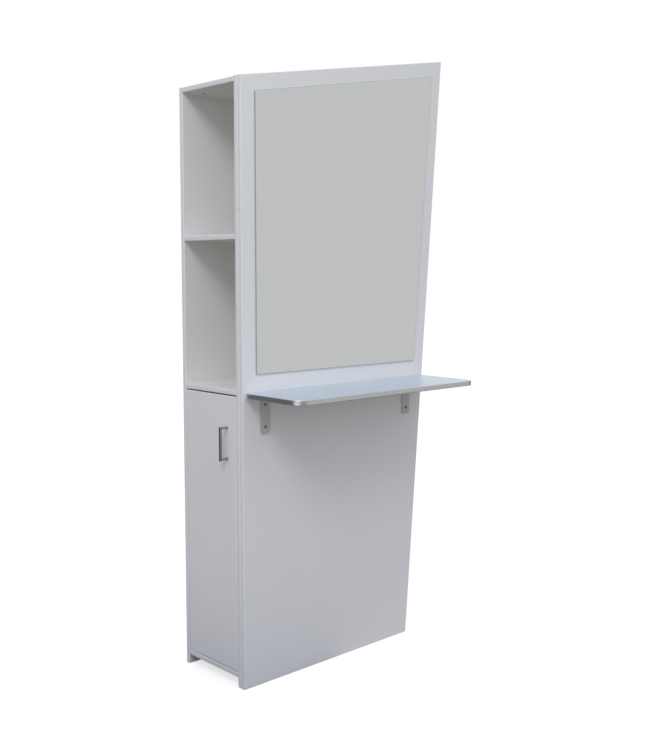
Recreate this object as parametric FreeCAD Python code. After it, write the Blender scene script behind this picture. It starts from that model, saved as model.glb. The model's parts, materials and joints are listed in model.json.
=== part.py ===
import FreeCAD, Part
import math
import os

# Salon styling station, in millimetres. It is drawn with X to the right, Y to the back and Z up,
# from the lower left corner of the front panel's face, and moved to the row's frame on export.
# The row's origin is the centre of the bounding box, on the floor.

OUT_DIR = "parts"

# Boards
BOARD = 16.0                  # melamine board thickness
EDGING = 3.0                  # plastic edging thickness
EDGE_RADIUS = 2.8             # rounding of the edging's outer corners
FIT = 0.05                    # radial clearance of a fixed fastener in its hole

# Front panel, a quadrilateral with an upright left edge and a level bottom edge
PANEL_LEFT_HEIGHT = 1850.0
PANEL_RIGHT_HEIGHT = 2010.0
PANEL_BOTTOM_WIDTH = 735.0
PANEL_TOP_WIDTH = 890.0

# Cabinet behind the panel. Its open side faces -X.
CARCASS_WIDTH = 290.0
CARCASS_DEPTH = 400.0
CARCASS_HEIGHT = PANEL_LEFT_HEIGHT
BACK_PANEL = 3.0
BACK_PANEL_INSET = 2.0
FRONT_BOARD_Y = BOARD
INNER_FRONT_Y = FRONT_BOARD_Y + BOARD
REAR_FACE_Y = FRONT_BOARD_Y + CARCASS_WIDTH
INNER_REAR_Y = REAR_FACE_Y - BOARD
BOARD_BACK_X = CARCASS_DEPTH - BACK_PANEL
MIDDLE_SHELF_TOP = 1394.0
LOWER_SHELF_TOP = 928.0
BOTTOM_BOARD_TOP = 47.0
FIXED_BOARD_TOPS = {
    "top_board": CARCASS_HEIGHT,
    "middle_shelf": MIDDLE_SHELF_TOP,
    "lower_shelf": LOWER_SHELF_TOP,
    "bottom_board": BOTTOM_BOARD_TOP,
}

# Knock-down fittings at each end of a fixed board
CAM_RADIUS = 7.5
CAM_HEIGHT = 12.5
CAM_FROM_END = 34.0
CAM_X = (60.0, 330.0)
CAM_BOLT_RADIUS = 3.5
CAM_BOLT_THREAD_RADIUS = 2.5
CAM_BOLT_REACH = 28.0
CAM_BOLT_DEPTH = 11.0
CAM_SLOT_CLEARANCE = 0.15
DOWEL_RADIUS = 4.0
DOWEL_LENGTH = 30.0
DOWEL_DEPTH = 11.0
DOWEL_X = (125.0, 265.0)

# Adjustable shelf behind the door
INNER_SHELF_FRONT_X = 30.0
INNER_SHELF_TOP = 486.0
INNER_SHELF_SIDE_GAP = 1.0
PIN_RADIUS = 2.5
PIN_DEPTH = 9.0
PIN_REACH = 8.0
PIN_X = (70.0, 340.0)

# Screws: shank radius, length under the head, head radius, head height
PANEL_SCREW = (2.0, 27.0, 4.0, 2.2)
BACK_SCREW = (1.5, 14.0, 3.0, 1.5)
BRACKET_SCREW = (2.2, 18.0, 4.8, 2.8)
TRAY_SCREW = (2.0, 17.0, 3.8, 2.2)
HANDLE_SCREW = (2.0, 30.0, 3.6, 2.4)
CUP_SCREW = (1.75, 11.0, 3.4, 1.2)
PLATE_SCREW = (1.75, 15.0, 3.2, 2.0)
ARM_SCREW = (2.0, 7.0, 3.4, 1.6)
PANEL_SCREW_X = (95.0, 300.0)
PANEL_SCREW_Z = (250.0, 700.0, 1150.0, 1600.0)
BACK_SCREW_Z = (150.0, 500.0, 850.0, 1200.0, 1500.0, 1800.0)

# Mirror, glued on with tape
MIRROR_THICKNESS = 4.0
MIRROR_SIDE_MARGIN = 52.0
MIRROR_TOP_MARGIN = 48.0
MIRROR_BOTTOM = 975.0
TAPE_THICKNESS = 0.5
TAPE_WIDTH = 20.0
TAPE_LENGTH = 720.0
TAPE_BOTTOM = 1030.0
TAPE_COUNT = 5
TAPE_FIRST_X = 110.0
TAPE_STEP_X = 142.0

# Tray, with a rounded metal band along its edges
TRAY_LEFT_X = 10.0
TRAY_RIGHT_X = 803.0
TRAY_DEPTH = 242.0
TRAY_TOP = 921.0
TRAY_FRONT_RADIUS = 35.0
TRAY_BACK_RADIUS = 6.0
TRAY_EDGING = 3.0
TRAY_EDGE_ROUNDING = 2.0

# Brackets under the tray
BRACKET_CENTRES = {"bracket_left": 84.0, "bracket_right": 719.0}
BRACKET_WIDTH = 35.0
BRACKET_THICKNESS = 5.0
BRACKET_DROP = 113.0
BRACKET_REACH = 190.0
BRACKET_CORNER = 9.0
BRACKET_PANEL_SCREW_Z = (881.0, 814.0)
BRACKET_TRAY_SCREW_Y = (-70.0, -165.0)

# Door
DOOR_HANDLE_GAP = 2.0
DOOR_HINGE_GAP = 3.0
DOOR_BOTTOM = 49.0
DOOR_TOP = 908.0
DOOR_FRONT_Y = INNER_FRONT_Y + DOOR_HANDLE_GAP
DOOR_REAR_Y = INNER_REAR_Y - DOOR_HINGE_GAP

# Bow handle
HANDLE_Y = 76.0
HANDLE_CENTRE_Z = 761.5
HANDLE_SPACING = 96.0
HANDLE_LENGTH = 106.0
HANDLE_WIDTH = 10.0
HANDLE_BAR = 8.0
HANDLE_PROJECTION = 30.0
HANDLE_ROUNDING = 1.5

# Single-joint cup hinges, with a pin near the door's rear edge. The arm leaves its pin forwards,
# loops out of the cup and runs back to the side board, so the door's edge can swing past it.
HINGE_Z = (150.0, 805.0)
PIVOT_X = 8.0
PIVOT_FROM_EDGE = 9.0
PIVOT_Y = DOOR_REAR_Y - PIVOT_FROM_EDGE
HINGE_PIN_RADIUS = 1.25
HINGE_PIN_HALF = 10.0
HINGE_RUNNING_FIT = 0.05
EYE_RADIUS = 2.6
CUP_RADIUS = 17.5
CUP_WALL = 1.0
CUP_DEPTH = 12.0
CUP_OFFSET = 12.0
EAR_INNER = 6.0
EAR_HALF_WIDTH = 3.0
CUP_Y = PIVOT_Y - CUP_OFFSET
FLANGE_RADIUS = 19.0
FLANGE_THICKNESS = 1.0
FLANGE_HALF_HEIGHT = 31.0
FLANGE_HALF_WIDTH = 8.0
CUP_SCREW_OFFSET = 25.0
ARM_THICKNESS = 2.5
ARM_HALF_HEIGHT = 5.0
ARM_SWEEP = 14.55
ARM_BASE_OFFSET = 4.0
ARM_BACK_X = 76.0
PLATE_X = (30.0, 74.0)
PLATE_HALF_HEIGHT = 8.0
PLATE_WING_X = (33.0, 47.0)
PLATE_WING_HALF_HEIGHT = 23.0
PLATE_WING_THICKNESS = 3.0
PLATE_SCREW_OFFSET = 16.0
ARM_SCREW_X = 60.0

# Row frame
X_MIN = -HANDLE_PROJECTION
X_MAX = PANEL_TOP_WIDTH
Y_MIN = -TRAY_DEPTH
Y_MAX = REAR_FACE_Y
ROW_SHIFT = FreeCAD.Vector(-(X_MIN + X_MAX) / 2.0, -(Y_MIN + Y_MAX) / 2.0, 0.0)

AXIS_X = FreeCAD.Vector(1, 0, 0)
AXIS_Y = FreeCAD.Vector(0, 1, 0)
AXIS_Z = FreeCAD.Vector(0, 0, 1)


def vec(x, y, z):
    return FreeCAD.Vector(x, y, z)


def box(x0, x1, y0, y1, z0, z1):
    return Part.makeBox(x1 - x0, y1 - y0, z1 - z0, vec(x0, y0, z0))


def cylinder(base, axis, radius, length):
    return Part.makeCylinder(radius, length, base, axis)


def cut_all(shape, tools):
    for tool in tools:
        shape = shape.cut(tool)
    return shape


def prism(points, y0, y1):
    """Extrude an (x, z) outline from y0 to y1."""
    corners = [vec(x, y0, z) for x, z in points]
    wire = Part.makePolygon(corners + corners[:1])
    return Part.Face(wire).extrude(vec(0, y1 - y0, 0))


def inset_outline(points, distances):
    """Offset each edge of a convex, anticlockwise outline inwards by its own distance."""
    lines = []
    for (x0, z0), (x1, z1), distance in zip(points, points[1:] + points[:1], distances):
        length = math.hypot(x1 - x0, z1 - z0)
        normal_x = -(z1 - z0) / length
        normal_z = (x1 - x0) / length
        offset = normal_x * x0 + normal_z * z0 + distance
        lines.append((normal_x, normal_z, offset))
    corners = []
    for (a0, b0, c0), (a1, b1, c1) in zip(lines[-1:] + lines[:-1], lines):
        det = a0 * b1 - a1 * b0
        corners.append(((c0 * b1 - c1 * b0) / det, (a0 * c1 - a1 * c0) / det))
    return corners


def fillet_lines(shape, radius, on_line):
    """Round every edge whose middle on_line accepts."""
    edges = [edge for edge in shape.Edges if on_line(edge.CenterOfMass)]
    return shape.makeFillet(radius, edges)


def screw(head_face, axis, size):
    """A round-headed screw. Its head seats on head_face and its shank runs along axis."""
    shank_radius, length, head_radius, head_height = size
    shank = cylinder(head_face, axis, shank_radius, length)
    head = cylinder(head_face - axis * head_height, axis, head_radius, head_height)
    return head.fuse(shank).removeSplitter()


def screw_hole(head_face, axis, size):
    shank_radius, length = size[:2]
    return cylinder(head_face, axis, shank_radius + FIT, length + FIT)


def save(name, shape):
    placed = shape.copy()
    placed.translate(ROW_SHIFT)
    placed.exportStep(os.path.join(OUT_DIR, name + ".step"))


def save_group(name, shapes):
    save(name, Part.makeCompound(shapes))


# Outlines

PANEL_OUTLINE = [
    (0.0, 0.0),
    (PANEL_BOTTOM_WIDTH, 0.0),
    (PANEL_TOP_WIDTH, PANEL_RIGHT_HEIGHT),
    (0.0, PANEL_LEFT_HEIGHT),
]


def panel_core_outline():
    return inset_outline(PANEL_OUTLINE, [EDGING] * len(PANEL_OUTLINE))


def mirror_outline():
    side, top = MIRROR_SIDE_MARGIN, MIRROR_TOP_MARGIN
    left, right, top_right, top_left = inset_outline(PANEL_OUTLINE, [top, side, top, side])
    slope = (top_right[0] - right[0]) / (top_right[1] - right[1])
    bottom_right_x = right[0] + slope * (MIRROR_BOTTOM - right[1])
    return [(left[0], MIRROR_BOTTOM), (bottom_right_x, MIRROR_BOTTOM), top_right, top_left]


# Fasteners as (head face, axis) pairs

def panel_screw_places():
    return [(vec(x, INNER_FRONT_Y, z), -AXIS_Y) for x in PANEL_SCREW_X for z in PANEL_SCREW_Z]


def back_screw_places():
    rows = (FRONT_BOARD_Y + BOARD / 2.0, REAR_FACE_Y - BOARD / 2.0)
    return [(vec(CARCASS_DEPTH, y, z), -AXIS_X) for y in rows for z in BACK_SCREW_Z]


def bracket_panel_screw_places():
    return [
        (vec(x, -BRACKET_THICKNESS, z), AXIS_Y)
        for x in BRACKET_CENTRES.values()
        for z in BRACKET_PANEL_SCREW_Z
    ]


def bracket_tray_screw_places():
    z = TRAY_TOP - BOARD - BRACKET_THICKNESS
    return [(vec(x, y, z), AXIS_Z) for x in BRACKET_CENTRES.values() for y in BRACKET_TRAY_SCREW_Y]


def handle_screw_places():
    half = HANDLE_SPACING / 2.0
    heights = (HANDLE_CENTRE_Z - half, HANDLE_CENTRE_Z + half)
    return [(vec(BOARD, HANDLE_Y, z), -AXIS_X) for z in heights]


def cup_screw_places():
    x = BOARD + FLANGE_THICKNESS
    offsets = (-CUP_SCREW_OFFSET, CUP_SCREW_OFFSET)
    return [(vec(x, CUP_Y, z + offset), -AXIS_X) for z in HINGE_Z for offset in offsets]


def plate_screw_places():
    x = sum(PLATE_WING_X) / 2.0
    y = INNER_REAR_Y - PLATE_WING_THICKNESS
    offsets = (-PLATE_SCREW_OFFSET, PLATE_SCREW_OFFSET)
    return [(vec(x, y, z + offset), AXIS_Y) for z in HINGE_Z for offset in offsets]


def arm_screw_places():
    y = PIVOT_Y + ARM_BASE_OFFSET - ARM_THICKNESS / 2.0
    return [(vec(ARM_SCREW_X, y, z), AXIS_Y) for z in HINGE_Z]


def holes(places, size):
    return [screw_hole(point, axis, size) for point, axis in places]


def save_screws(name, places, size):
    save_group(name, [screw(point, axis, size) for point, axis in places])


# Knock-down fittings

def board_ends():
    """Each fixed board's end as (y of the end, direction into the board, board top)."""
    ends = []
    for top in FIXED_BOARD_TOPS.values():
        ends.append((INNER_FRONT_Y, AXIS_Y, top))
        ends.append((INNER_REAR_Y, -AXIS_Y, top))
    return ends


def cam_bolt(x, y, inward, z, clearance):
    thread_start = vec(x, y, z) - inward * (CAM_BOLT_DEPTH + clearance)
    thread_length = CAM_BOLT_DEPTH + clearance
    thread = cylinder(thread_start, inward, CAM_BOLT_THREAD_RADIUS + clearance, thread_length)
    rod_length = CAM_BOLT_REACH + clearance
    rod = cylinder(vec(x, y, z), inward, CAM_BOLT_RADIUS + clearance, rod_length)
    return thread.fuse(rod).removeSplitter()


def cam_bolts(clearance):
    return [
        cam_bolt(x, y, inward, top - BOARD / 2.0, clearance)
        for y, inward, top in board_ends()
        for x in CAM_X
    ]


def cams(clearance):
    bodies = []
    for y, inward, top in board_ends():
        for x in CAM_X:
            base = vec(x, y, top - BOARD) + inward * CAM_FROM_END
            bodies.append(cylinder(base, AXIS_Z, CAM_RADIUS + clearance, CAM_HEIGHT + clearance))
    return bodies


def dowels(clearance):
    bodies = []
    for y, inward, top in board_ends():
        for x in DOWEL_X:
            start = vec(x, y, top - BOARD / 2.0) - inward * (DOWEL_DEPTH + clearance)
            length = DOWEL_LENGTH + 2.0 * clearance
            bodies.append(cylinder(start, inward, DOWEL_RADIUS + clearance, length))
    return bodies


def shelf_pins(clearance):
    """The pins that carry the adjustable shelf."""
    z = INNER_SHELF_TOP - BOARD - PIN_RADIUS
    bodies = []
    for y, inward in ((INNER_FRONT_Y, AXIS_Y), (INNER_REAR_Y, -AXIS_Y)):
        for x in PIN_X:
            start = vec(x, y, z) - inward * (PIN_DEPTH + clearance)
            length = PIN_DEPTH + PIN_REACH + clearance
            bodies.append(cylinder(start, inward, PIN_RADIUS + clearance, length))
    return bodies


def fitting_holes():
    return cams(FIT) + cam_bolts(FIT) + dowels(FIT)


# Front panel and mirror

def make_front_panel():
    core = prism(panel_core_outline(), 0.0, BOARD)
    tools = holes(panel_screw_places(), PANEL_SCREW)
    tools += holes(bracket_panel_screw_places(), BRACKET_SCREW)
    save("front_panel", cut_all(core, tools))


def make_front_panel_edging():
    inner = panel_core_outline()
    strips = []
    for index in range(len(PANEL_OUTLINE)):
        following = (index + 1) % len(PANEL_OUTLINE)
        start, end = PANEL_OUTLINE[index], PANEL_OUTLINE[following]
        strip = prism([start, end, inner[following], inner[index]], 0.0, BOARD)
        middle = ((start[0] + end[0]) / 2.0, (start[1] + end[1]) / 2.0)

        def on_outer_face(point, middle=middle):
            return math.hypot(point.x - middle[0], point.z - middle[1]) < EDGING / 2.0

        strips.append(fillet_lines(strip, EDGE_RADIUS, on_outer_face))
    save_group("front_panel_edging", strips)


def make_mirror():
    back = -TAPE_THICKNESS
    save("mirror_glass", prism(mirror_outline(), back - MIRROR_THICKNESS, back))
    strips = []
    for index in range(TAPE_COUNT):
        x = TAPE_FIRST_X + index * TAPE_STEP_X
        top = TAPE_BOTTOM + TAPE_LENGTH
        strips.append(box(x, x + TAPE_WIDTH, -TAPE_THICKNESS, 0.0, TAPE_BOTTOM, top))
    save_group("mirror_tape", strips)


# Cabinet

def make_side_boards():
    tools = fitting_holes() + shelf_pins(FIT)
    tools += holes(back_screw_places(), BACK_SCREW)
    front = box(EDGING, BOARD_BACK_X, FRONT_BOARD_Y, INNER_FRONT_Y, 0.0, CARCASS_HEIGHT)
    save("front_side_board", cut_all(front, tools + holes(panel_screw_places(), PANEL_SCREW)))
    rear = box(EDGING, BOARD_BACK_X, INNER_REAR_Y, REAR_FACE_Y, 0.0, CARCASS_HEIGHT)
    save("rear_side_board", cut_all(rear, tools + holes(plate_screw_places(), PLATE_SCREW)))


def edging_strip(y0, y1, z0, z1):
    """An edging strip on the cabinet's -X side, rounded along both long edges."""
    strip = box(0.0, EDGING, y0, y1, z0, z1)
    upright = z1 - z0 > y1 - y0

    def on_long_edge(point):
        if abs(point.x) > FIT:
            return False
        if upright:
            return min(abs(point.y - y0), abs(point.y - y1)) < FIT
        return min(abs(point.z - z0), abs(point.z - z1)) < FIT

    return fillet_lines(strip, EDGE_RADIUS, on_long_edge)


def make_carcass_edging():
    save_group("side_board_edging", [
        edging_strip(FRONT_BOARD_Y, INNER_FRONT_Y, 0.0, CARCASS_HEIGHT),
        edging_strip(INNER_REAR_Y, REAR_FACE_Y, 0.0, CARCASS_HEIGHT),
    ])
    save_group("shelf_edging", [
        edging_strip(INNER_FRONT_Y, INNER_REAR_Y, top - BOARD, top)
        for top in FIXED_BOARD_TOPS.values()
    ])


def make_fixed_boards():
    tools = fitting_holes()
    for name, top in FIXED_BOARD_TOPS.items():
        board = box(EDGING, BOARD_BACK_X, INNER_FRONT_Y, INNER_REAR_Y, top - BOARD, top)
        save(name, cut_all(board, tools))


def make_back_panel():
    y0 = FRONT_BOARD_Y + BACK_PANEL_INSET
    y1 = REAR_FACE_Y - BACK_PANEL_INSET
    z0 = BOTTOM_BOARD_TOP - BOARD
    z1 = CARCASS_HEIGHT - BACK_PANEL_INSET
    sheet = box(BOARD_BACK_X, CARCASS_DEPTH, y0, y1, z0, z1)
    save("back_panel", cut_all(sheet, holes(back_screw_places(), BACK_SCREW)))
    save_screws("back_panel_screws", back_screw_places(), BACK_SCREW)


def make_fittings():
    bolt_room = cam_bolts(CAM_SLOT_CLEARANCE)
    save_group("cam_housings", [cut_all(cam, bolt_room) for cam in cams(0.0)])
    save_group("cam_bolts", cam_bolts(0.0))
    save_group("dowels", dowels(0.0))
    save_screws("panel_screws", panel_screw_places(), PANEL_SCREW)


def make_inner_shelf():
    y0 = INNER_FRONT_Y + INNER_SHELF_SIDE_GAP
    y1 = INNER_REAR_Y - INNER_SHELF_SIDE_GAP
    z0 = INNER_SHELF_TOP - BOARD
    save("inner_shelf", box(INNER_SHELF_FRONT_X, BOARD_BACK_X, y0, y1, z0, INNER_SHELF_TOP))
    save_group("shelf_pins", shelf_pins(0.0))


# Tray and brackets

def tray_slab(inset):
    """The tray's outline, moved inwards by inset, as a slab with rounded corners."""
    z0, z1 = TRAY_TOP - BOARD, TRAY_TOP
    y0, y1 = inset - TRAY_DEPTH, -inset
    slab = box(TRAY_LEFT_X + inset, TRAY_RIGHT_X - inset, y0, y1, z0, z1)
    middle = (z0 + z1) / 2.0

    def front_corner(point):
        return abs(point.z - middle) < FIT and abs(point.y - y0) < FIT

    def back_corner(point):
        return abs(point.z - middle) < FIT and abs(point.y - y1) < FIT

    slab = fillet_lines(slab, TRAY_FRONT_RADIUS - inset, front_corner)
    return fillet_lines(slab, TRAY_BACK_RADIUS - inset, back_corner)


def make_tray():
    core = tray_slab(TRAY_EDGING)

    def on_flat_face(point):
        return min(abs(point.z - TRAY_TOP), abs(point.z - TRAY_TOP + BOARD)) < FIT

    band = fillet_lines(tray_slab(0.0), TRAY_EDGE_ROUNDING, on_flat_face).cut(core)
    save("tray_board", cut_all(core, holes(bracket_tray_screw_places(), TRAY_SCREW)))
    save("tray_edging", band)


def make_bracket(name, centre):
    x0 = centre - BRACKET_WIDTH / 2.0
    x1 = centre + BRACKET_WIDTH / 2.0
    top = TRAY_TOP - BOARD
    bottom = top - BRACKET_DROP
    leg = box(x0, x1, -BRACKET_THICKNESS, 0.0, bottom, top)

    def leg_corner(point):
        return abs(point.z - bottom) < FIT and min(abs(point.x - x0), abs(point.x - x1)) < FIT

    arm = box(x0, x1, -BRACKET_REACH, 0.0, top - BRACKET_THICKNESS, top)

    def arm_corner(point):
        at_end = abs(point.y + BRACKET_REACH) < FIT
        return at_end and min(abs(point.x - x0), abs(point.x - x1)) < FIT

    leg = fillet_lines(leg, BRACKET_CORNER, leg_corner)
    arm = fillet_lines(arm, BRACKET_CORNER, arm_corner)
    tools = holes(bracket_panel_screw_places(), BRACKET_SCREW)
    tools += holes(bracket_tray_screw_places(), TRAY_SCREW)
    save(name, cut_all(leg.fuse(arm).removeSplitter(), tools))


def make_brackets():
    for name, centre in BRACKET_CENTRES.items():
        make_bracket(name, centre)
    save_screws("bracket_panel_screws", bracket_panel_screw_places(), BRACKET_SCREW)
    save_screws("bracket_tray_screws", bracket_tray_screw_places(), TRAY_SCREW)


# Door

def make_door():
    y0 = DOOR_FRONT_Y + EDGING
    y1 = DOOR_REAR_Y - EDGING
    core = box(0.0, BOARD, y0, y1, DOOR_BOTTOM + EDGING, DOOR_TOP - EDGING)
    pocket_length = CUP_DEPTH + FIT
    tools = [
        cylinder(vec(BOARD, CUP_Y, z), -AXIS_X, CUP_RADIUS + FIT, pocket_length)
        for z in HINGE_Z
    ]
    tools += holes(handle_screw_places(), HANDLE_SCREW)
    tools += holes(cup_screw_places(), CUP_SCREW)
    save("door", cut_all(core, tools))


def make_door_edging():
    """Upright strips between the two level strips, rounded along their outer edges."""
    z0, z1 = DOOR_BOTTOM, DOOR_TOP
    spans = [
        (DOOR_FRONT_Y, DOOR_REAR_Y, z0, z0 + EDGING, "z", z0),
        (DOOR_FRONT_Y, DOOR_REAR_Y, z1 - EDGING, z1, "z", z1),
        (DOOR_FRONT_Y, DOOR_FRONT_Y + EDGING, z0 + EDGING, z1 - EDGING, "y", DOOR_FRONT_Y),
        (DOOR_REAR_Y - EDGING, DOOR_REAR_Y, z0 + EDGING, z1 - EDGING, "y", DOOR_REAR_Y),
    ]
    strips = []
    for low_y, high_y, low_z, high_z, across, outer in spans:
        strip = box(0.0, BOARD, low_y, high_y, low_z, high_z)

        def on_outer_edge(point, across=across, outer=outer):
            on_face = min(abs(point.x), abs(point.x - BOARD)) < FIT
            return on_face and abs(getattr(point, across) - outer) < FIT

        strips.append(fillet_lines(strip, EDGE_RADIUS, on_outer_edge))
    save_group("door_edging", strips)


def make_handle():
    y0 = HANDLE_Y - HANDLE_WIDTH / 2.0
    y1 = HANDLE_Y + HANDLE_WIDTH / 2.0
    z0 = HANDLE_CENTRE_Z - HANDLE_LENGTH / 2.0
    z1 = HANDLE_CENTRE_Z + HANDLE_LENGTH / 2.0
    outline = box(-HANDLE_PROJECTION, 0.0, y0, y1, z0, z1)
    post = HANDLE_LENGTH - HANDLE_SPACING
    gap = box(HANDLE_BAR - HANDLE_PROJECTION, 0.0, y0, y1, z0 + post, z1 - post)

    def on_front_edge(point):
        return abs(point.x + HANDLE_PROJECTION) < FIT

    handle = fillet_lines(outline, HANDLE_ROUNDING, on_front_edge).cut(gap)
    save("handle", cut_all(handle, holes(handle_screw_places(), HANDLE_SCREW)))
    save_screws("handle_screws", handle_screw_places(), HANDLE_SCREW)


# Hinges

def hinge_pin(z, clearance):
    base = vec(PIVOT_X, PIVOT_Y, z - HINGE_PIN_HALF)
    return cylinder(base, AXIS_Z, HINGE_PIN_RADIUS + clearance, 2.0 * HINGE_PIN_HALF)


def hinge_ears(z):
    """The two blocks in the cup that hold the pin's ends."""
    x1 = PIVOT_X + EAR_HALF_WIDTH
    y0 = PIVOT_Y - EAR_HALF_WIDTH
    y1 = PIVOT_Y + CUP_RADIUS - CUP_OFFSET
    spans = ((z - HINGE_PIN_HALF, z - EAR_INNER), (z + EAR_INNER, z + HINGE_PIN_HALF))
    return [box(BOARD - CUP_DEPTH, x1, y0, y1, low, high) for low, high in spans]


def hinge_cup(z):
    floor_x = BOARD - CUP_DEPTH
    shell = cylinder(vec(floor_x, CUP_Y, z), AXIS_X, CUP_RADIUS, CUP_DEPTH)
    flange = cylinder(vec(BOARD, CUP_Y, z), AXIS_X, FLANGE_RADIUS, FLANGE_THICKNESS)
    wing = box(
        BOARD, BOARD + FLANGE_THICKNESS,
        CUP_Y - FLANGE_HALF_WIDTH, CUP_Y + FLANGE_HALF_WIDTH,
        z - FLANGE_HALF_HEIGHT, z + FLANGE_HALF_HEIGHT,
    )
    cavity_radius = CUP_RADIUS - CUP_WALL
    cavity_length = CUP_DEPTH - CUP_WALL + FLANGE_THICKNESS
    cavity = cylinder(vec(floor_x + CUP_WALL, CUP_Y, z), AXIS_X, cavity_radius, cavity_length)
    cup = shell.fuse(flange).fuse(wing).removeSplitter().cut(cavity)
    for ear in hinge_ears(z):
        cup = cup.fuse(ear.common(shell))
    tools = [hinge_pin(z, FIT)] + holes(cup_screw_places(), CUP_SCREW)
    return cut_all(cup.removeSplitter(), tools)


def hinge_arm(z):
    low, high = z - ARM_HALF_HEIGHT, z + ARM_HALF_HEIGHT
    half = ARM_THICKNESS / 2.0
    outer = ARM_SWEEP
    inner = ARM_SWEEP - ARM_THICKNESS
    front_y = PIVOT_Y - outer
    base_y = PIVOT_Y + ARM_BASE_OFFSET
    eye = cylinder(vec(PIVOT_X, PIVOT_Y, low), AXIS_Z, EYE_RADIUS, high - low)
    lengths = [
        box(PIVOT_X - half, PIVOT_X + half, front_y, PIVOT_Y, low, high),
        box(PIVOT_X - half, PIVOT_X + outer, front_y, PIVOT_Y - inner, low, high),
        box(PIVOT_X + inner, PIVOT_X + outer, front_y, base_y + half, low, high),
        box(PIVOT_X + inner, ARM_BACK_X, base_y - half, base_y + half, low, high),
    ]
    arm = eye
    for length in lengths:
        arm = arm.fuse(length)
    tools = [hinge_pin(z, HINGE_RUNNING_FIT)] + holes(arm_screw_places(), ARM_SCREW)
    return cut_all(arm.removeSplitter(), tools)


def hinge_plate(z):
    y0 = PIVOT_Y + ARM_BASE_OFFSET + ARM_THICKNESS / 2.0
    body = box(PLATE_X[0], PLATE_X[1], y0, INNER_REAR_Y, z - PLATE_HALF_HEIGHT, z + PLATE_HALF_HEIGHT)
    wings = box(
        PLATE_WING_X[0], PLATE_WING_X[1],
        INNER_REAR_Y - PLATE_WING_THICKNESS, INNER_REAR_Y,
        z - PLATE_WING_HALF_HEIGHT, z + PLATE_WING_HALF_HEIGHT,
    )
    tools = holes(plate_screw_places(), PLATE_SCREW) + holes(arm_screw_places(), ARM_SCREW)
    return cut_all(body.fuse(wings).removeSplitter(), tools)


def make_hinges():
    save_group("hinge_cups", [hinge_cup(z) for z in HINGE_Z])
    save_group("hinge_pins", [hinge_pin(z, 0.0) for z in HINGE_Z])
    save_group("hinge_arms", [hinge_arm(z) for z in HINGE_Z])
    save_group("hinge_plates", [hinge_plate(z) for z in HINGE_Z])
    save_screws("hinge_cup_screws", cup_screw_places(), CUP_SCREW)
    save_screws("hinge_plate_screws", plate_screw_places(), PLATE_SCREW)
    save_screws("hinge_arm_screws", arm_screw_places(), ARM_SCREW)


os.makedirs("parts", exist_ok=True)
make_front_panel()
make_front_panel_edging()
make_mirror()
make_side_boards()
make_carcass_edging()
make_fixed_boards()
make_back_panel()
make_fittings()
make_inner_shelf()
make_tray()
make_brackets()
make_door()
make_door_edging()
make_handle()
make_hinges()
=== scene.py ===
import json
import math

import bmesh
import bpy
from mathutils import Matrix, Vector


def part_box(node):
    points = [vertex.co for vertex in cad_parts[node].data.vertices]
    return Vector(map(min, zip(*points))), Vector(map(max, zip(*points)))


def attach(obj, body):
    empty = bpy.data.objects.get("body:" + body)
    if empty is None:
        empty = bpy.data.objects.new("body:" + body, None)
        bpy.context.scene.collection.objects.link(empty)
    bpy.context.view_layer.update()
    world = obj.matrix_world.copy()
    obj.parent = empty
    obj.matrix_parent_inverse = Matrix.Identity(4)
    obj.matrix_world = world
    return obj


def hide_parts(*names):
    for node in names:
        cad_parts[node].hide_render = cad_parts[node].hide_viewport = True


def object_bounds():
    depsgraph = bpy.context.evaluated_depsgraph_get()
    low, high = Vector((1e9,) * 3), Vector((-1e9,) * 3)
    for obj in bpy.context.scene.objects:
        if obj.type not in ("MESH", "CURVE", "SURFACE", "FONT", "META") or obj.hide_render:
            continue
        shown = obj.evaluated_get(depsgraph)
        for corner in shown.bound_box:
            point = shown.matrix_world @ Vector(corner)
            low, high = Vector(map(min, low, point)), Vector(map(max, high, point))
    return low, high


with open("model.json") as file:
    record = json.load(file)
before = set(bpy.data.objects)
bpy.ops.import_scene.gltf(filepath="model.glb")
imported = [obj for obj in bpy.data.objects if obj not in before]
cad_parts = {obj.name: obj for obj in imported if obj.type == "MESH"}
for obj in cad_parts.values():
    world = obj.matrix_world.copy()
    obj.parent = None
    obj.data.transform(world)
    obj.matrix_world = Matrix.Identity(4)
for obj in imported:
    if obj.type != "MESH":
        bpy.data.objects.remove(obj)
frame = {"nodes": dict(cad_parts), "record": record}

CAD_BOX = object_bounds()
NODES = frame["nodes"]
SLOTS = {row["node"]: row["material_slot"] for row in frame["record"]["subparts"]}
CABINET = "cabinet"
DOOR = "door"

# Camera: where it stands, from the front panel's lower left corner, and how it is turned
CAMERA_OFFSET = (-1.8216, -2.3003, 1.2877)
CAMERA_YAW = 43.186
CAMERA_PITCH = -6.054
CAMERA_ROLL = 0.08
CAMERA_LENS = 47.41
SENSOR = 36.0
NEAREST = 0.05
FURTHEST = 100.0

# Room: brightness straight up, at the horizon and below it. It rises towards BRIGHT_DIRECTION.
ZENITH = 0.84
HORIZON = 0.325
GROUND = 0.18
HORIZON_BAND = (-0.12, -0.02)
SIDE_CONTRAST = 0.45
BRIGHT_DIRECTION = (0.0, -1.0, 0.0)
CEILING_TINT = (0.925, 0.97, 1.15)
GROUND_TINT = (1.01, 1.0, 0.96)

# Even patches of the room, as (direction, cosines at which it starts and is full, brightness):
# the grey card that the mirror shows the camera, a window at the object's left, and a dark
# corner behind its left side for the metal faces
CARD = ((0.69, -0.72, 0.04), (0.925, 0.95), 0.615)
WINDOW = ((-0.93, -0.35, -0.05), (0.78, 0.98), 0.92)
DARK_CORNER = ((-0.68, 0.73, -0.08), (0.82, 0.95), 0.13)

# White backdrop, straight ahead of the camera
BACKDROP_SPREAD = (0.80, 0.88)
BACKDROP = 1.0

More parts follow.
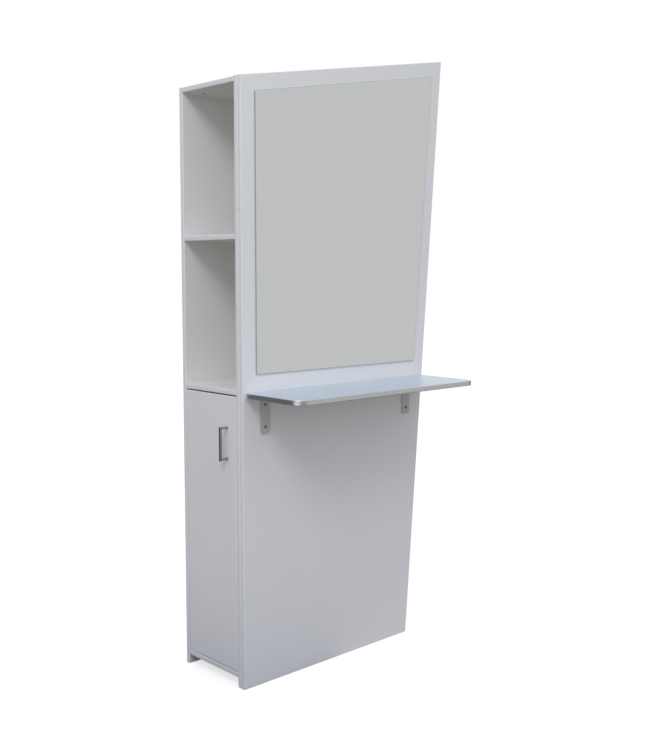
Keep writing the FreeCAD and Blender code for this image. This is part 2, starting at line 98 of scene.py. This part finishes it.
# Key light, high at the object's front left
KEY_POWER = 62.0
KEY_SIZE = 1.5
KEY_DISTANCE = 5.0
KEY_DIRECTION = (-0.62, -0.44, 0.65)

# Floor, and the dim plate under it: how far it reaches out beside and in front of the cabinet
FLOOR_RADIUS = 30.0
FLOOR_GLOW = 0.7
FLOOR_TONES = ((0.48, 0.46, 0.44), (0.50, 0.48, 0.46))
SHADE_MARGIN = 0.60
SHADE_REACH = 0.80
SHADE_DROP = 0.001
SHADE_TONES = ((0.12, 0.12, 0.12), (0.16, 0.16, 0.16))

MM = 0.001


# ---------------------------------------------------------------- node helpers

class Nodes:
    """Short calls that add nodes to a shader tree."""

    def __init__(self, tree, coordinate):
        self.tree = tree
        self.coords = tree.nodes.new("ShaderNodeTexCoord").outputs[coordinate]

    def link(self, source, target):
        self.tree.links.new(source, target)

    def feed(self, value, socket):
        """Link value if it is another node's output, or set it."""
        if isinstance(value, bpy.types.NodeSocket):
            self.link(value, socket)
        else:
            socket.default_value = value

    def stretch(self, scale):
        node = self.tree.nodes.new("ShaderNodeMapping")
        node.inputs["Scale"].default_value = scale
        self.link(self.coords, node.inputs["Vector"])
        return node.outputs["Vector"]

    def noise(self, scale, detail=3.0, roughness=0.5, vector=None):
        node = self.tree.nodes.new("ShaderNodeTexNoise")
        node.inputs["Scale"].default_value = scale
        node.inputs["Detail"].default_value = detail
        node.inputs["Roughness"].default_value = roughness
        self.link(vector or self.coords, node.inputs["Vector"])
        return node.outputs["Fac"]

    def cells(self, scale):
        node = self.tree.nodes.new("ShaderNodeTexVoronoi")
        node.inputs["Scale"].default_value = scale
        self.link(self.coords, node.inputs["Vector"])
        return node.outputs

    def remap(self, value, low, high, to_low, to_high, shape="LINEAR"):
        node = self.tree.nodes.new("ShaderNodeMapRange")
        node.interpolation_type = shape
        node.inputs["From Min"].default_value = low
        node.inputs["From Max"].default_value = high
        self.feed(to_low, node.inputs["To Min"])
        self.feed(to_high, node.inputs["To Max"])
        self.link(value, node.inputs["Value"])
        return node.outputs["Result"]

    def math(self, operation, a, b):
        node = self.tree.nodes.new("ShaderNodeMath")
        node.operation = operation
        self.feed(a, node.inputs[0])
        self.feed(b, node.inputs[1])
        return node.outputs["Value"]

    def axis(self, letter):
        node = self.tree.nodes.new("ShaderNodeSeparateXYZ")
        self.link(self.coords, node.inputs["Vector"])
        return node.outputs[letter]

    def towards(self, direction):
        """The cosine of the angle between the coordinates and direction."""
        node = self.tree.nodes.new("ShaderNodeVectorMath")
        node.operation = "DOT_PRODUCT"
        self.link(self.coords, node.inputs[0])
        node.inputs[1].default_value = direction
        return node.outputs["Value"]

    def mix(self, factor, a, b):
        node = self.tree.nodes.new("ShaderNodeMix")
        node.data_type = "RGBA"
        inputs = [socket for socket in node.inputs if socket.type == "RGBA"]
        self.link(factor, node.inputs["Factor"])
        for socket, value in zip(inputs, (a, b)):
            self.feed(value + (1.0,) if isinstance(value, tuple) else value, socket)
        return next(socket for socket in node.outputs if socket.type == "RGBA")


class Shader(Nodes):
    """A material with one Principled shader."""

    def __init__(self, name):
        self.material = bpy.data.materials.new(name)
        self.material.use_nodes = True
        super().__init__(self.material.node_tree, "Object")
        self.bsdf = self.tree.nodes["Principled BSDF"]

    def set(self, **values):
        for name, value in values.items():
            self.bsdf.inputs[name.replace("_", " ")].default_value = value

    def colour(self, output):
        self.link(output, self.bsdf.inputs["Base Color"])

    def roughness(self, output):
        self.link(output, self.bsdf.inputs["Roughness"])

    def bump(self, height, distance, strength=1.0):
        node = self.tree.nodes.new("ShaderNodeBump")
        node.inputs["Distance"].default_value = distance
        node.inputs["Strength"].default_value = strength
        self.link(height, node.inputs["Height"])
        previous = self.bsdf.inputs["Normal"].links
        if previous:
            self.link(previous[0].from_socket, node.inputs["Normal"])
        self.link(node.outputs["Normal"], self.bsdf.inputs["Normal"])


def shade(colour, factor):
    return tuple(channel * factor for channel in colour)


# ------------------------------------------------------------------- materials

def melamine(name, colour):
    """Satin melamine: a faint pearl cloud, a fine pressed texture and scuffs near the floor."""
    shader = Shader(name)
    cloud = shader.noise(5.0, 4.0, 0.55)
    base = shader.mix(cloud, shade(colour, 0.975), shade(colour, 1.02))
    pearl = shader.noise(420.0, 2.0, 0.6)
    base = shader.mix(shader.remap(pearl, 0.35, 0.65, 0.0, 0.35), base, shade(colour, 0.955))
    low = shader.remap(shader.axis("Z"), 0.0, 0.09, 1.0, 0.0)
    marks = shader.remap(shader.noise(60.0, 5.0, 0.7), 0.58, 0.72, 0.0, 0.45)
    base = shader.mix(shader.math("MULTIPLY", low, marks), base, shade(colour, 0.72))
    shader.colour(base)
    shader.roughness(shader.remap(shader.noise(14.0, 4.0), 0.3, 0.7, 0.34, 0.46))
    shader.bump(shader.noise(1500.0, 2.0), 0.03 * MM, 0.6)
    shader.bump(shader.noise(180.0, 2.0), 0.04 * MM, 0.4)
    return shader.material


def edging(name, colour):
    """Plastic edging: glossier than the board, with fine scraper lines and small nicks."""
    shader = Shader(name)
    lines = shader.noise(1.0, 3.0, 0.6, shader.stretch((1200.0, 1200.0, 9.0)))
    base = shader.mix(lines, shade(colour, 0.96), shade(colour, 1.02))
    nicks = shader.remap(shader.noise(240.0, 2.0), 0.70, 0.76, 0.0, 0.4)
    shader.colour(shader.mix(nicks, base, shade(colour, 0.80)))
    shader.roughness(shader.remap(shader.noise(40.0, 4.0), 0.3, 0.7, 0.26, 0.40))
    shader.bump(lines, 0.02 * MM, 0.5)
    return shader.material


def laminate(name, colour):
    """Silver laminate: fine metal flakes under a satin coat, with a few hairline marks."""
    shader = Shader(name)
    flakes = shader.cells(1400.0)["Color"]
    grain = shader.tree.nodes.new("ShaderNodeRGBToBW")
    shader.link(flakes, grain.inputs["Color"])
    base = shader.mix(grain.outputs["Val"], shade(colour, 0.90), shade(colour, 1.10))
    cloud = shader.remap(shader.noise(7.0, 4.0), 0.3, 0.7, 0.0, 0.25)
    base = shader.mix(cloud, base, shade(colour, 0.90))
    hairlines = shader.noise(1.0, 2.0, 0.5, shader.stretch((6.0, 900.0, 1.0)))
    marks = shader.remap(hairlines, 0.66, 0.70, 0.0, 0.22)
    shader.colour(shader.mix(marks, base, shade(colour, 1.25)))
    shader.set(Metallic=0.25)
    shader.roughness(shader.remap(shader.noise(18.0, 4.0), 0.3, 0.7, 0.30, 0.42))
    shader.bump(shader.noise(900.0, 2.0), 0.02 * MM, 0.5)
    return shader.material


def brushed(name, colour, stretch, low, high):
    """Brushed metal. Its lines run along the axes whose noise scale, in stretch, is low."""
    shader = Shader(name)
    lines = shader.noise(1.0, 4.0, 0.65, shader.stretch(stretch))
    tarnish = shader.noise(90.0, 4.0, 0.6)
    base = shader.mix(lines, shade(colour, 0.82), shade(colour, 1.12))
    darker = shader.remap(tarnish, 0.55, 0.75, 0.0, 0.35)
    shader.colour(shader.mix(darker, base, shade(colour, 0.72)))
    shader.set(Metallic=1.0)
    shader.roughness(shader.remap(lines, 0.3, 0.7, low, high))
    shader.bump(lines, 0.02 * MM, 0.5)
    return shader.material


def plated(name, colour, roughness):
    """Plated or cast metal with a faint grain and cloudy reflections."""
    shader = Shader(name)
    cloud = shader.noise(120.0, 4.0, 0.6)
    shader.colour(shader.mix(cloud, shade(colour, 0.88), shade(colour, 1.08)))
    shader.set(Metallic=1.0)
    shader.roughness(shader.remap(cloud, 0.3, 0.7, roughness * 0.8, roughness * 1.3))
    shader.bump(shader.noise(1800.0, 2.0), 0.02 * MM, 0.4)
    return shader.material


def powder_coat(name, colour):
    """Powder-coated steel: a pebbled skin, a little darker in places."""
    shader = Shader(name)
    pebbles = shader.noise(1300.0, 2.0, 0.55)
    cloud = shader.noise(30.0, 3.0)
    base = shader.mix(cloud, shade(colour, 0.95), shade(colour, 1.04))
    shader.colour(shader.mix(shader.remap(pebbles, 0.4, 0.7, 0.0, 0.2), base, shade(colour, 0.85)))
    shader.set(Metallic=0.35)
    shader.roughness(shader.remap(pebbles, 0.3, 0.7, 0.36, 0.50))
    shader.bump(pebbles, 0.06 * MM, 0.6)
    return shader.material


def mirror_face(name):
    """Silvered glass, with the faint haze of wiping."""
    shader = Shader(name)
    haze = shader.noise(9.0, 5.0, 0.6, shader.stretch((1.0, 1.0, 0.35)))
    shader.colour(shader.mix(haze, (0.835, 0.850, 0.845), (0.850, 0.862, 0.858)))
    shader.set(Metallic=1.0)
    shader.roughness(shader.remap(haze, 0.3, 0.75, 0.004, 0.022))
    return shader.material


def glass_edge(name):
    """The polished, blue-grey edge of float glass."""
    shader = Shader(name)
    depth = shader.noise(60.0, 3.0, 0.5, shader.stretch((1.0, 6.0, 0.2)))
    shader.colour(shader.mix(depth, (0.24, 0.30, 0.33), (0.34, 0.41, 0.44)))
    shader.set(IOR=1.52, Coat_Weight=0.6, Coat_Roughness=0.05)
    shader.roughness(shader.remap(depth, 0.3, 0.7, 0.08, 0.16))
    return shader.material


def hardboard(name, colour):
    """Painted hardboard: soft fibres under thin paint."""
    shader = Shader(name)
    fibres = shader.noise(1.0, 4.0, 0.65, shader.stretch((1.0, 260.0, 90.0)))
    cloud = shader.noise(6.0, 4.0)
    base = shader.mix(cloud, shade(colour, 0.95), shade(colour, 1.03))
    shader.colour(shader.mix(shader.remap(fibres, 0.45, 0.75, 0.0, 0.3), base, shade(colour, 0.88)))
    shader.roughness(shader.remap(cloud, 0.3, 0.7, 0.50, 0.62))
    shader.bump(fibres, 0.05 * MM, 0.5)
    return shader.material


def beech(name, colour):
    shader = Shader(name)
    grain = shader.noise(1.0, 5.0, 0.6, shader.stretch((700.0, 30.0, 700.0)))
    shader.colour(shader.mix(grain, shade(colour, 0.78), shade(colour, 1.12)))
    shader.roughness(shader.remap(grain, 0.3, 0.7, 0.50, 0.66))
    shader.bump(grain, 0.05 * MM, 0.6)
    return shader.material


def foam(name, colour):
    shader = Shader(name)
    cells = shader.cells(2400.0)["Distance"]
    shader.colour(shader.mix(cells, shade(colour, 0.85), colour))
    shader.roughness(shader.remap(cells, 0.0, 0.8, 0.7, 0.9))
    shader.bump(cells, 0.05 * MM, 0.8)
    return shader.material


# Noise scales that draw brush lines along the level tray band and the upright handle bar
ALONG_BAND = (25.0, 25.0, 2600.0)
ALONG_BAR = (2200.0, 2200.0, 20.0)

MATERIALS = {
    "white_board": melamine("white_melamine", (0.89, 0.885, 0.85)),
    "white_edging": edging("white_edging", (0.87, 0.86, 0.84)),
    "back_sheet": hardboard("white_hardboard", (0.86, 0.855, 0.83)),
    "silver_laminate": laminate("silver_laminate", (0.63, 0.705, 0.745)),
    "tray_band": brushed("brushed_aluminium", (0.76, 0.75, 0.75), ALONG_BAND, 0.26, 0.40),
    "mirror": mirror_face("silvered_glass"),
    "foam_tape": foam("foam_tape", (0.80, 0.80, 0.77)),
    "bracket_paint": powder_coat("silver_powder_coat", (0.58, 0.57, 0.56)),
    "bronzed_screw": plated("bronzed_steel", (0.36, 0.28, 0.22), 0.38),
    "zinc_screw": plated("zinc_plate", (0.62, 0.62, 0.64), 0.34),
    "zinc_cam": plated("cast_zinc", (0.42, 0.42, 0.43), 0.42),
    "nickel": plated("nickel_plate", (0.60, 0.58, 0.55), 0.26),
    "brushed_nickel": brushed("dark_nickel", (0.40, 0.34, 0.30), ALONG_BAR, 0.14, 0.26),
    "beech": beech("beech_dowel", (0.62, 0.44, 0.26)),
}
GLASS_EDGE = glass_edge("glass_edge")


# Rounding of the CAD nodes' edges. The edging strips have theirs in the shape.
ROUNDING = 0.25 * MM
ROUNDINGS = {
    "bracket_left": 0.8 * MM,
    "bracket_right": 0.8 * MM,
    "tray_edging": 0.0,
    "front_panel_edging": 0.0,
    "side_board_edging": 0.0,
    "shelf_edging": 0.0,
    "door_edging": 0.0,
    "hinge_cups": 0.2 * MM,
    "hinge_arms": 0.5 * MM,
    "hinge_plates": 0.8 * MM,
}
SAME_POINT = 0.01 * MM
SHARP_EDGE = 40.0


def clothe_cad_nodes():
    """Give every CAD node its material and a small rounding, so its edges catch the light."""
    for name, node in NODES.items():
        node.data.materials.clear()
        node.data.materials.append(MATERIALS[SLOTS[name]])
        rounding = ROUNDINGS.get(name, ROUNDING)
        if rounding:
            weld = node.modifiers.new("weld", "WELD")
            weld.merge_threshold = SAME_POINT
            bevel = node.modifiers.new("rounding", "BEVEL")
            bevel.width = rounding
            bevel.segments = 2
            bevel.limit_method = "ANGLE"
            bevel.angle_limit = math.radians(SHARP_EDGE)
            bevel.harden_normals = True


# ---------------------------------------------------------------- mesh helpers

# Points this near belong to the same solid, and a radius this small is a point on the axis
SAME_SOLID = 0.005 * MM
ON_AXIS = 1e-6


def new_piece(name, mesh_builder, slot, body, materials=None):
    """Turn a bmesh into an object that rides on body and takes slot's finish."""
    mesh = bpy.data.meshes.new(name)
    mesh_builder.to_mesh(mesh)
    mesh_builder.free()
    piece = bpy.data.objects.new(name, mesh)
    bpy.context.scene.collection.objects.link(piece)
    for material in materials or [MATERIALS[slot]]:
        mesh.materials.append(material)
    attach(piece, body)
    return piece


def islands(node_name):
    """The lowest and highest corner of each separate solid in a CAD node."""
    builder = bmesh.new()
    builder.from_mesh(NODES[node_name].data)
    bmesh.ops.remove_doubles(builder, verts=builder.verts, dist=SAME_SOLID)
    waiting = set(builder.verts)
    found = []
    while waiting:
        stack = [waiting.pop()]
        members = []
        while stack:
            vertex = stack.pop()
            members.append(vertex.co.copy())
            for edge in vertex.link_edges:
                other = edge.other_vert(vertex)
                if other in waiting:
                    waiting.remove(other)
                    stack.append(other)
        low = Vector(map(min, zip(*members)))
        high = Vector(map(max, zip(*members)))
        found.append((low, high))
    builder.free()
    return found


def lathe(builder, profile, segments, to_row):
    """Revolve (radius, height) points about the local Z axis and place them with to_row."""
    rings = []
    for radius, height in profile:
        if radius < ON_AXIS:
            rings.append([builder.verts.new(to_row @ Vector((0.0, 0.0, height)))])
            continue
        ring = []
        for index in range(segments):
            angle = 2.0 * math.pi * index / segments
            point = Vector((radius * math.cos(angle), radius * math.sin(angle), height))
            ring.append(builder.verts.new(to_row @ point))
        rings.append(ring)
    for lower, upper in zip(rings, rings[1:]):
        for index in range(segments):
            following = (index + 1) % segments
            if len(lower) == 1:
                corners = [lower[0], upper[following], upper[index]]
            elif len(upper) == 1:
                corners = [lower[index], lower[following], upper[0]]
            else:
                corners = [lower[index], lower[following], upper[following], upper[index]]
            builder.faces.new(corners)


def aim(origin, direction):
    """A matrix that puts local Z along direction at origin."""
    turn = direction.to_track_quat("Z", "Y").to_matrix().to_4x4()
    return Matrix.Translation(origin) @ turn


# --------------------------------------------------------------- fine hardware

# Driver recess, as parts of the head's radius and height
RECESS_ARM = 0.52
RECESS_WIDTH = 0.17
RECESS_DEPTH = 0.55
RECESS_TAPER = 0.6

# Screw head, as (part of the radius, part of the height), up to the flat around the recess
HEAD_FLAT_RADIUS = RECESS_ARM * 1.25
HEAD_FLAT_HEIGHT = 0.985
HEAD = [(1.0, 0.0), (1.0, 0.35), (0.94, 0.68), (0.80, 0.90), (HEAD_FLAT_RADIUS, HEAD_FLAT_HEIGHT)]
HEAD_SEGMENTS = 24
HEAD_SMOOTHING = 35.0

# Screw thread, as parts of the shank's radius
SHANK = 0.46
THREAD_PITCH = 1.4 * MM
THREAD_TIP = 0.55
THREAD_ROOT = 0.78
THREAD_NECK = 0.9

# Cam drum, as (part of the radius, part of the height below its face), up to the flat
CAM_FLAT_RADIUS = 0.62
CAM_FLAT_DEPTH = 0.05
CAM = [
    (0.0, 1.0), (0.93, 1.0), (0.96, 0.9), (0.96, 0.12), (1.0, 0.10), (1.0, 0.02),
    (0.97, 0.0), (0.86, 0.0), (0.82, CAM_FLAT_DEPTH), (CAM_FLAT_RADIUS, CAM_FLAT_DEPTH),
]
CAM_RECESS_SIZE = 0.95
CAM_RECESS_DEPTH = 0.35
CAM_SEGMENTS = 32
CAM_SMOOTHING = 30.0


def cross_recess(builder, radius, top, depth, to_row):
    """A four-armed driver recess, sunk into a head. Returns its rim."""
    arm = radius * RECESS_ARM
    half = radius * RECESS_WIDTH
    outline = [
        (arm, -half), (arm, half), (half, half), (half, arm), (-half, arm), (-half, half),
        (-arm, half), (-arm, -half), (-half, -half), (-half, -arm), (half, -arm), (half, -half),
    ]
    rim = [builder.verts.new(to_row @ Vector((x, y, top))) for x, y in outline]
    floor = [
        builder.verts.new(to_row @ Vector((x * RECESS_TAPER, y * RECESS_TAPER, top - depth)))
        for x, y in outline
    ]
    count = len(outline)
    for index in range(count):
        following = (index + 1) % count
        builder.faces.new([rim[index], rim[following], floor[following], floor[index]])
    builder.faces.new(floor)
    return rim


def flat_with_recess(builder, radius, segments, recess_radius, top, depth, to_row):
    """The round flat on a head, with a cross recess in its middle."""
    rim = cross_recess(builder, recess_radius, top, depth, to_row)
    edge = []
    for index in range(segments):
        angle = 2.0 * math.pi * index / segments
        point = Vector((radius * math.cos(angle), radius * math.sin(angle), top))
        edge.append(builder.verts.new(to_row @ point))
    borders = []
    for ring in (rim, edge):
        for a, b in zip(ring, ring[1:] + ring[:1]):
            borders.append(builder.edges.get((a, b)) or builder.edges.new((a, b)))
    bmesh.ops.triangle_fill(builder, edges=borders, use_beauty=True)


def screw_mesh(builder, head_radius, head_height, length, to_row):
    """A pan-head screw along local -Z, with its head on the plane z = 0, and a rolled thread."""
    shank = head_radius * SHANK
    turns = int(length / THREAD_PITCH) - 1
    thread = [(0.0, -length), (shank * THREAD_TIP, -length + THREAD_PITCH)]
    for index in range(1, turns):
        height = -length + THREAD_PITCH * (index + 0.5)
        thread.append((shank * THREAD_ROOT, height))
        thread.append((shank, height + THREAD_PITCH * 0.5))
    thread += [(shank * THREAD_NECK, 0.0), (head_radius, 0.0)]
    lathe(builder, thread, HEAD_SEGMENTS, to_row)
    dome = [(head_radius * across, head_height * up) for across, up in HEAD]
    lathe(builder, dome, HEAD_SEGMENTS, to_row)
    flat_with_recess(
        builder, head_radius * HEAD_FLAT_RADIUS, HEAD_SEGMENTS, head_radius,
        head_height * HEAD_FLAT_HEIGHT, head_height * RECESS_DEPTH, to_row,
    )


def smooth(piece, degrees):
    """Smooth shading, except across edges sharper than the angle."""
    for polygon in piece.data.polygons:
        polygon.use_smooth = True
    piece.data.set_sharp_from_angle(angle=math.radians(degrees))


def replace_node(name, builder, node_name, body, degrees):
    """Turn the builder's mesh into the piece that is shown in place of a CAD node."""
    bmesh.ops.recalc_face_normals(builder, faces=builder.faces)
    piece = new_piece(name, builder, SLOTS[node_name], body)
    smooth(piece, degrees)
    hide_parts(node_name)


RIGHT = Vector((1, 0, 0))
BACK = Vector((0, 1, 0))
UP = Vector((0, 0, 1))

# Screw nodes: the way from the shank out of the head, the head's height and the body
SCREWS = {
    "bracket_panel_screws": (-BACK, 2.8 * MM, CABINET),
    "bracket_tray_screws": (-UP, 2.2 * MM, CABINET),
    "panel_screws": (BACK, 2.2 * MM, CABINET),
    "back_panel_screws": (RIGHT, 1.5 * MM, CABINET),
    "hinge_plate_screws": (-BACK, 2.0 * MM, CABINET),
    "hinge_arm_screws": (-BACK, 1.6 * MM, CABINET),
    "hinge_cup_screws": (RIGHT, 1.2 * MM, DOOR),
    "handle_screws": (RIGHT, 2.4 * MM, DOOR),
}
TURN_PER_METRE = 1480.0


def detailed_screws(node_name, head_direction, head_height, body):
    """Replace a group of plain screws. Each is turned by its own amount, as if driven by hand."""
    builder = bmesh.new()
    axis = max(range(3), key=lambda index: abs(head_direction[index]))
    across = next(index for index in range(3) if index != axis)
    for low, high in islands(node_name):
        centre = (low + high) / 2.0
        outermost = high[axis] if head_direction[axis] > 0 else low[axis]
        seat = centre.copy()
        seat[axis] = outermost - head_direction[axis] * head_height
        head_radius = (high[across] - low[across]) / 2.0
        length = (high[axis] - low[axis]) - head_height
        turn = Matrix.Rotation(math.radians(TURN_PER_METRE * (centre.x + centre.z)), 4, "Z")
        to_row = aim(seat, head_direction) @ turn
        screw_mesh(builder, head_radius, head_height, length, to_row)
    bmesh.ops.remove_doubles(builder, verts=builder.verts, dist=SAME_POINT)
    replace_node(node_name + "_detailed", builder, node_name, body, HEAD_SMOOTHING)


def detailed_cams():
    """Cam fittings: a flanged drum with a deep cross slot and a turned rim."""
    builder = bmesh.new()
    for low, high in islands("cam_housings"):
        centre = (low + high) / 2.0
        radius = (high.x - low.x) / 2.0
        height = high.z - low.z
        to_row = aim(Vector((centre.x, centre.y, low.z)), -UP)
        drum = [(radius * across, -height * down) for across, down in CAM]
        lathe(builder, drum, CAM_SEGMENTS, to_row)
        flat_with_recess(
            builder, radius * CAM_FLAT_RADIUS, CAM_SEGMENTS, radius * CAM_RECESS_SIZE,
            -height * CAM_FLAT_DEPTH, height * CAM_RECESS_DEPTH, to_row,
        )
    bmesh.ops.remove_doubles(builder, verts=builder.verts, dist=SAME_POINT)
    replace_node("cam_housings_detailed", builder, "cam_housings", CABINET, CAM_SMOOTHING)


# ---------------------------------------------------------------------- mirror

ARRIS = 1.0 * MM
FLAT_WITHIN = 1.0
ON_FRONT = 0.1 * MM
FACES_FRONT = -0.95


def detailed_mirror():
    """The mirror pane, with a ground arris along its edges and blue-grey glass at the sides."""
    builder = bmesh.new()
    builder.from_mesh(NODES["mirror_glass"].data)
    bmesh.ops.remove_doubles(builder, verts=builder.verts, dist=SAME_POINT)
    bmesh.ops.dissolve_limit(
        builder, angle_limit=math.radians(FLAT_WITHIN), verts=builder.verts, edges=builder.edges
    )
    front = min(vertex.co.y for vertex in builder.verts)
    rim = [
        edge for edge in builder.edges
        if all(abs(vertex.co.y - front) < ON_FRONT for vertex in edge.verts)
    ]
    bmesh.ops.bevel(
        builder, geom=rim, offset=ARRIS, segments=1, affect="EDGES", profile=0.5
    )
    builder.normal_update()
    for face in builder.faces:
        face.material_index = 0 if face.normal.y < FACES_FRONT else 1
    piece = new_piece(
        "mirror_pane", builder, "mirror", CABINET, [MATERIALS["mirror"], GLASS_EDGE]
    )
    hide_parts("mirror_glass")


# ---------------------------------------------------------------------- handle

BAR_DEPTH = 7.0 * MM
BAR_SLIMMING = 0.86
BAR_ROUNDING = 1.8 * MM
HANDLE_SMOOTHING = 40.0
COLLAR_HEIGHT = 1.6 * MM
POST_SEGMENTS = 32

# Post radii, as parts of the handle's half width. The waist is a part of the post's radius.
COLLAR = 0.98
COLLAR_TOP = 0.90
POST = 0.72
POST_WAIST = 0.94

# Heights on a post: the collar's as parts of its own height, the others as parts of the reach
COLLAR_SIDE = 0.7
COLLAR_FOOT = 1.25
WAIST_AT = 0.5
WAIST_END = 0.92

# The part of the bar's depth that lies beyond the post's end
POST_COVER = 0.6


def detailed_handle():
    """A bow handle: a rounded flat bar on two round posts with collars at the door."""
    low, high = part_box("handle")
    centre_y = (low.y + high.y) / 2.0
    half_width = (high.y - low.y) / 2.0
    builder = bmesh.new()
    for vertex in bmesh.ops.create_cube(builder, size=1.0)["verts"]:
        vertex.co.x = low.x + (vertex.co.x + 0.5) * BAR_DEPTH
        vertex.co.y = centre_y + vertex.co.y * 2.0 * half_width * BAR_SLIMMING
        vertex.co.z = low.z + (vertex.co.z + 0.5) * (high.z - low.z)
    edges = list(builder.edges)
    bmesh.ops.bevel(
        builder, geom=edges, offset=BAR_ROUNDING, segments=4, affect="EDGES", profile=0.5
    )
    radius = half_width * POST
    reach = high.x - low.x - BAR_DEPTH * POST_COVER
    post = [
        (0.0, 0.0),
        (half_width * COLLAR, 0.0),
        (half_width * COLLAR, COLLAR_HEIGHT * COLLAR_SIDE),
        (half_width * COLLAR_TOP, COLLAR_HEIGHT),
        (radius, COLLAR_HEIGHT * COLLAR_FOOT),
        (radius * POST_WAIST, reach * WAIST_AT),
        (radius, reach * WAIST_END),
        (radius, reach),
        (0.0, reach),
    ]
    for end in (low.z + half_width, high.z - half_width):
        to_row = aim(Vector((high.x, centre_y, end)), -RIGHT)
        lathe(builder, post, POST_SEGMENTS, to_row)
    replace_node("bow_handle", builder, "handle", DOOR, HANDLE_SMOOTHING)


# ----------------------------------------------------------- stage and cameras

def panel_corner():
    """The front panel's lower left corner on its face, which the camera is measured from."""
    low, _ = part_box("front_panel_edging")
    return Vector((low.x, low.y, 0.0))


def make_camera():
    data = bpy.data.cameras.new("camera")
    data.sensor_width = SENSOR
    data.lens = CAMERA_LENS
    data.clip_start = NEAREST
    data.clip_end = FURTHEST
    camera = bpy.data.objects.new("camera", data)
    camera.location = panel_corner() + Vector(CAMERA_OFFSET)
    camera.rotation_mode = "XYZ"
    turn = Matrix.Rotation(math.radians(-CAMERA_YAW), 4, "Z")
    tilt = Matrix.Rotation(math.radians(90.0 + CAMERA_PITCH), 4, "X")
    roll = Matrix.Rotation(math.radians(CAMERA_ROLL), 4, "Z")
    camera.rotation_euler = (turn @ tilt @ roll).to_euler("XYZ")
    bpy.context.scene.collection.objects.link(camera)
    bpy.context.scene.camera = camera


def patch(sky, room, direction, spread, brightness):
    """Put an even patch on the room. Returns where the patch is and the room with it."""
    mask = sky.remap(sky.towards(direction), *spread, 0.0, 1.0, "SMOOTHSTEP")
    return mask, sky.remap(mask, 0.0, 1.0, room, brightness)


def make_world():
    """A studio: a white backdrop behind the object, and soft light from the other sides."""
    world = bpy.data.worlds.new("studio")
    world.use_nodes = True
    background = world.node_tree.nodes["Background"]
    sky = Nodes(world.node_tree, "Generated")
    height = sky.axis("Z")
    below = sky.remap(height, *HORIZON_BAND, 1.0, 0.0)
    ceiling = sky.remap(height, 0.0, 1.0, HORIZON, ZENITH)
    room = sky.remap(below, 0.0, 1.0, ceiling, GROUND)
    side = sky.towards(BRIGHT_DIRECTION)
    side = sky.remap(side, -1.0, 1.0, 1.0 - SIDE_CONTRAST, 1.0 + SIDE_CONTRAST)
    room = sky.math("MULTIPLY", room, side)
    card, room = patch(sky, room, *CARD)
    _, room = patch(sky, room, *WINDOW)
    _, room = patch(sky, room, *DARK_CORNER)
    yaw = math.radians(CAMERA_YAW)
    ahead = (math.sin(yaw), math.cos(yaw), 0.0)
    backdrop, room = patch(sky, room, ahead, BACKDROP_SPREAD, BACKDROP)
    sky.link(room, background.inputs["Strength"])
    tint = sky.mix(below, CEILING_TINT, GROUND_TINT)
    neutral = sky.math("MAXIMUM", card, backdrop)
    sky.link(sky.mix(neutral, tint, (1.0, 1.0, 1.0)), background.inputs["Color"])
    bpy.context.scene.world = world


def flat_stage(name, builder, material):
    """A flat stage object, which isn't part of the station."""
    mesh = bpy.data.meshes.new(name)
    builder.to_mesh(mesh)
    builder.free()
    mesh.materials.append(material)
    stage = bpy.data.objects.new(name, mesh)
    bpy.context.scene.collection.objects.link(stage)
    return stage


def make_floor():
    """A round, pale floor with a faint paper grain. It sends no light back up at the object."""
    shader = Shader("pale_floor")
    grain = shader.noise(220.0, 3.0)
    shader.colour(shader.mix(grain, *FLOOR_TONES))
    shader.set(Roughness=0.9, Emission_Color=(1.0, 1.0, 1.0, 1.0), Emission_Strength=FLOOR_GLOW)
    disc = bmesh.new()
    bmesh.ops.create_circle(disc, cap_ends=True, segments=128, radius=FLOOR_RADIUS)
    floor = flat_stage("floor", disc, shader.material)
    floor.visible_diffuse = False
    floor.visible_glossy = False


def make_floor_shade():
    """A dim plate just below the floor: the shade that the cabinet gives the ground near it."""
    low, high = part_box("rear_side_board")
    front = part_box("front_panel")[0].y - SHADE_REACH
    shader = Shader("floor_shade")
    shader.colour(shader.mix(shader.noise(40.0), *SHADE_TONES))
    plate = bmesh.new()
    corners = [
        (low.x - SHADE_MARGIN, front), (high.x, front),
        (high.x, high.y), (low.x - SHADE_MARGIN, high.y),
    ]
    plate.faces.new([plate.verts.new((x, y, -SHADE_DROP)) for x, y in corners])
    flat_stage("floor_shade", plate, shader.material)


def make_key_light():
    """A large soft light, high at the object's front left."""
    data = bpy.data.lights.new("key", "AREA")
    data.size = KEY_SIZE
    data.energy = KEY_POWER
    lamp = bpy.data.objects.new("key", data)
    middle = (CAD_BOX[0] + CAD_BOX[1]) / 2.0
    towards_lamp = Vector(KEY_DIRECTION).normalized()
    lamp.location = middle + towards_lamp * KEY_DISTANCE
    lamp.rotation_euler = (-towards_lamp).to_track_quat("-Z", "Y").to_euler()
    bpy.context.scene.collection.objects.link(lamp)


clothe_cad_nodes()
detailed_mirror()
detailed_handle()
detailed_cams()
for node_name, (head_direction, head_height, body) in SCREWS.items():
    detailed_screws(node_name, head_direction, head_height, body)
make_camera()
make_world()
make_floor()
make_floor_shade()
make_key_light()
bpy.context.scene.view_settings.view_transform = "Standard"
